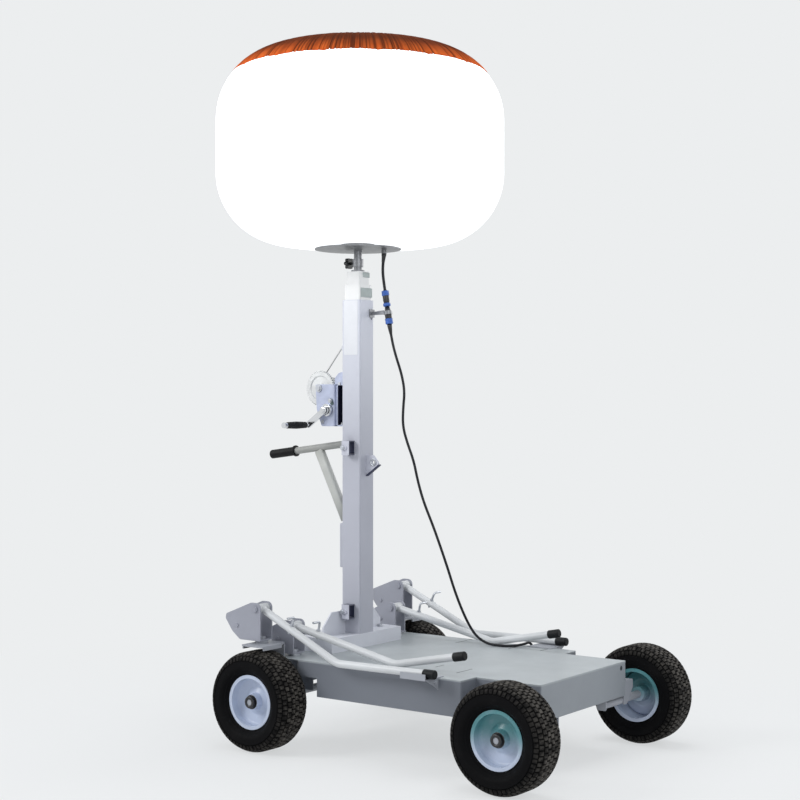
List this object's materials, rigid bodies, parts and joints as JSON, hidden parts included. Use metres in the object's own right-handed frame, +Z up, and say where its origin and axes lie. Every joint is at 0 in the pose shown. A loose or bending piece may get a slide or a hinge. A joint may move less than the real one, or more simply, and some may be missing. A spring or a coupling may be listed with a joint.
{
  "type": "balloon light trolley",
  "caption": "Four-wheel trolley with a folded deck, a winch-raised telescopic mast carrying a round light balloon, and flip-over stabiliser legs.",
  "frame": {"origin": "floor point under the middle of the whole trolley's outer box, the power cable left out", "axes": "+X forward from the mast end to the nose of the deck, +Y to the left, +Z up"},
  "size_m": [1.556, 1.106, 2.36],
  "materials": {
    "tyre": "matt black turf tread",
    "wheel_grey": "silver grey paint, satin",
    "leg_zinc": "bright zinc plated tube",
    "black_rubber": "matt black",
    "zinc_fittings": "zinc plated",
    "bracket_grey": "greyish satin",
    "frame_grey": "light grey paint, satin",
    "deck_grey": "light grey paint, satin",
    "mast_grey": "light grey paint, satin",
    "chrome": "polished",
    "black_plastic": "moulded",
    "steel_rope": "stranded",
    "dish_aluminium": "spun, satin",
    "balloon_white": "translucent white cloth, lit from inside",
    "balloon_orange": "gathered coloured cloth",
    "cable_black": "round flexible cable",
    "blue_plastic": "moulded"
  },
  "bodies": {
    "chassis": {"deck_pan": "deck_grey", "front_axle": "frame_grey", "rear_axle": "frame_grey", "mast_base": "frame_grey", "leg_shelf_right": "frame_grey", "leg_shelf_left": "frame_grey", "swivel_post_right": "zinc_fittings", "swivel_post_left": "zinc_fittings", "leg_cradle_right": "frame_grey", "leg_cradle_left": "frame_grey", "mast_outer": "mast_grey", "mast_clips": "frame_grey", "hook_lug": "frame_grey", "cable_hook": "frame_grey", "rope_pulley": "zinc_fittings", "handle_bar": "leg_zinc", "handle_brace": "leg_zinc", "handle_grip": "black_rubber", "winch_frame": "zinc_fittings", "winch_rope": "steel_rope", "coupling_lower": "blue_plastic", "lower_cable": "cable_black", "cable_coil": "cable_black", "cable_plug": "black_plastic", "leg_bracket_inner_right": "bracket_grey", "leg_bracket_inner_left": "bracket_grey"},
    "mast_mid": {"mast_mid": "mast_grey"},
    "mast_inner": {"mast_inner": "mast_grey", "head_pole": "chrome", "head_knob": "black_plastic", "lamp_dish": "dish_aluminium", "balloon": "balloon_white", "balloon_cap": "balloon_orange", "upper_lead": "cable_black", "coupling_upper": "blue_plastic"},
    "winch_drum": {"winch_drum": "zinc_fittings"},
    "winch_crank": {"winch_crank": "chrome", "crank_grip": "black_plastic"},
    "wheel_front_right": {"tyre_front_right": "tyre", "rim_front_right": "wheel_grey"},
    "wheel_front_left": {"tyre_front_left": "tyre", "rim_front_left": "wheel_grey"},
    "wheel_rear_right": {"tyre_rear_right": "tyre", "rim_rear_right": "wheel_grey"},
    "wheel_rear_left": {"tyre_rear_left": "tyre", "rim_rear_left": "wheel_grey"},
    "bracket_outer_right": {"leg_bracket_outer_right": "bracket_grey"},
    "leg_outer_right": {"leg_tube_outer_right": "leg_zinc", "leg_foot_outer_right": "black_rubber", "leg_pin_outer_right": "zinc_fittings"},
    "bracket_outer_left": {"leg_bracket_outer_left": "bracket_grey"},
    "leg_outer_left": {"leg_tube_outer_left": "leg_zinc", "leg_foot_outer_left": "black_rubber", "leg_pin_outer_left": "zinc_fittings"},
    "leg_inner_right": {"leg_tube_inner_right": "leg_zinc", "leg_foot_inner_right": "black_rubber", "leg_pin_inner_right": "zinc_fittings"},
    "leg_inner_left": {"leg_tube_inner_left": "leg_zinc", "leg_foot_inner_left": "black_rubber", "leg_pin_inner_left": "zinc_fittings"}
  },
  "joints": [
    {"name": "mast_mid_slide", "type": "slide", "parent": "chassis", "child": "mast_mid", "axis": [0, 0, 1], "range_m": [0, 0.9]},
    {"name": "mast_inner_slide", "type": "slide", "parent": "mast_mid", "child": "mast_inner", "axis": [0, 0, 1], "range_m": [0, 0.9]},
    {"name": "winch_drum_spin", "type": "hinge", "parent": "chassis", "child": "winch_drum", "pos_m": [-0.417, 0, 1.2], "axis": [0, 1, 0], "continuous": true},
    {"name": "winch_crank_spin", "type": "hinge", "parent": "chassis", "child": "winch_crank", "pos_m": [-0.3771, 0, 1.12303], "axis": [0, 1, 0], "continuous": true},
    {"name": "wheel_front_right_spin", "type": "hinge", "parent": "chassis", "child": "wheel_front_right", "pos_m": [0.613, -0.434, 0.165], "axis": [0, 1, 0], "continuous": true},
    {"name": "wheel_front_left_spin", "type": "hinge", "parent": "chassis", "child": "wheel_front_left", "pos_m": [0.613, 0.434, 0.165], "axis": [0, 1, 0], "continuous": true},
    {"name": "wheel_rear_right_spin", "type": "hinge", "parent": "chassis", "child": "wheel_rear_right", "pos_m": [-0.347, -0.434, 0.165], "axis": [0, 1, 0], "continuous": true},
    {"name": "wheel_rear_left_spin", "type": "hinge", "parent": "chassis", "child": "wheel_rear_left", "pos_m": [-0.347, 0.434, 0.165], "axis": [0, 1, 0], "continuous": true},
    {"name": "leg_outer_right_swing", "type": "hinge", "parent": "chassis", "child": "bracket_outer_right", "pos_m": [-0.366, -0.4, 0.46441], "axis": [0, 0, 1], "range_deg": [0, 45]},
    {"name": "leg_outer_right_fold", "type": "hinge", "parent": "bracket_outer_right", "child": "leg_outer_right", "pos_m": [-0.366, -0.4, 0.46441], "axis": [0, -1, 0], "range_deg": [0, 231]},
    {"name": "leg_outer_left_swing", "type": "hinge", "parent": "chassis", "child": "bracket_outer_left", "pos_m": [-0.366, 0.4, 0.46441], "axis": [0, 0, -1], "range_deg": [0, 45]},
    {"name": "leg_outer_left_fold", "type": "hinge", "parent": "bracket_outer_left", "child": "leg_outer_left", "pos_m": [-0.366, 0.4, 0.46441], "axis": [0, -1, 0], "range_deg": [0, 231]},
    {"name": "leg_inner_right_fold", "type": "hinge", "parent": "chassis", "child": "leg_inner_right", "pos_m": [-0.318, -0.288, 0.3975], "axis": [0, -1, 0], "range_deg": [0, 217]},
    {"name": "leg_inner_left_fold", "type": "hinge", "parent": "chassis", "child": "leg_inner_left", "pos_m": [-0.318, 0.288, 0.3975], "axis": [0, -1, 0], "range_deg": [0, 217]}
  ],
  "couplings": [
    {"joint": "mast_inner_slide", "follows": "mast_mid_slide", "ratio": 1},
    {"joint": "winch_crank_spin", "follows": "winch_drum_spin", "ratio": -2.4},
    {"joint": "leg_outer_right_swing", "follows": "leg_outer_right_fold", "ratio": 0.1948},
    {"joint": "leg_outer_left_swing", "follows": "leg_outer_left_fold", "ratio": 0.1948}
  ]
}
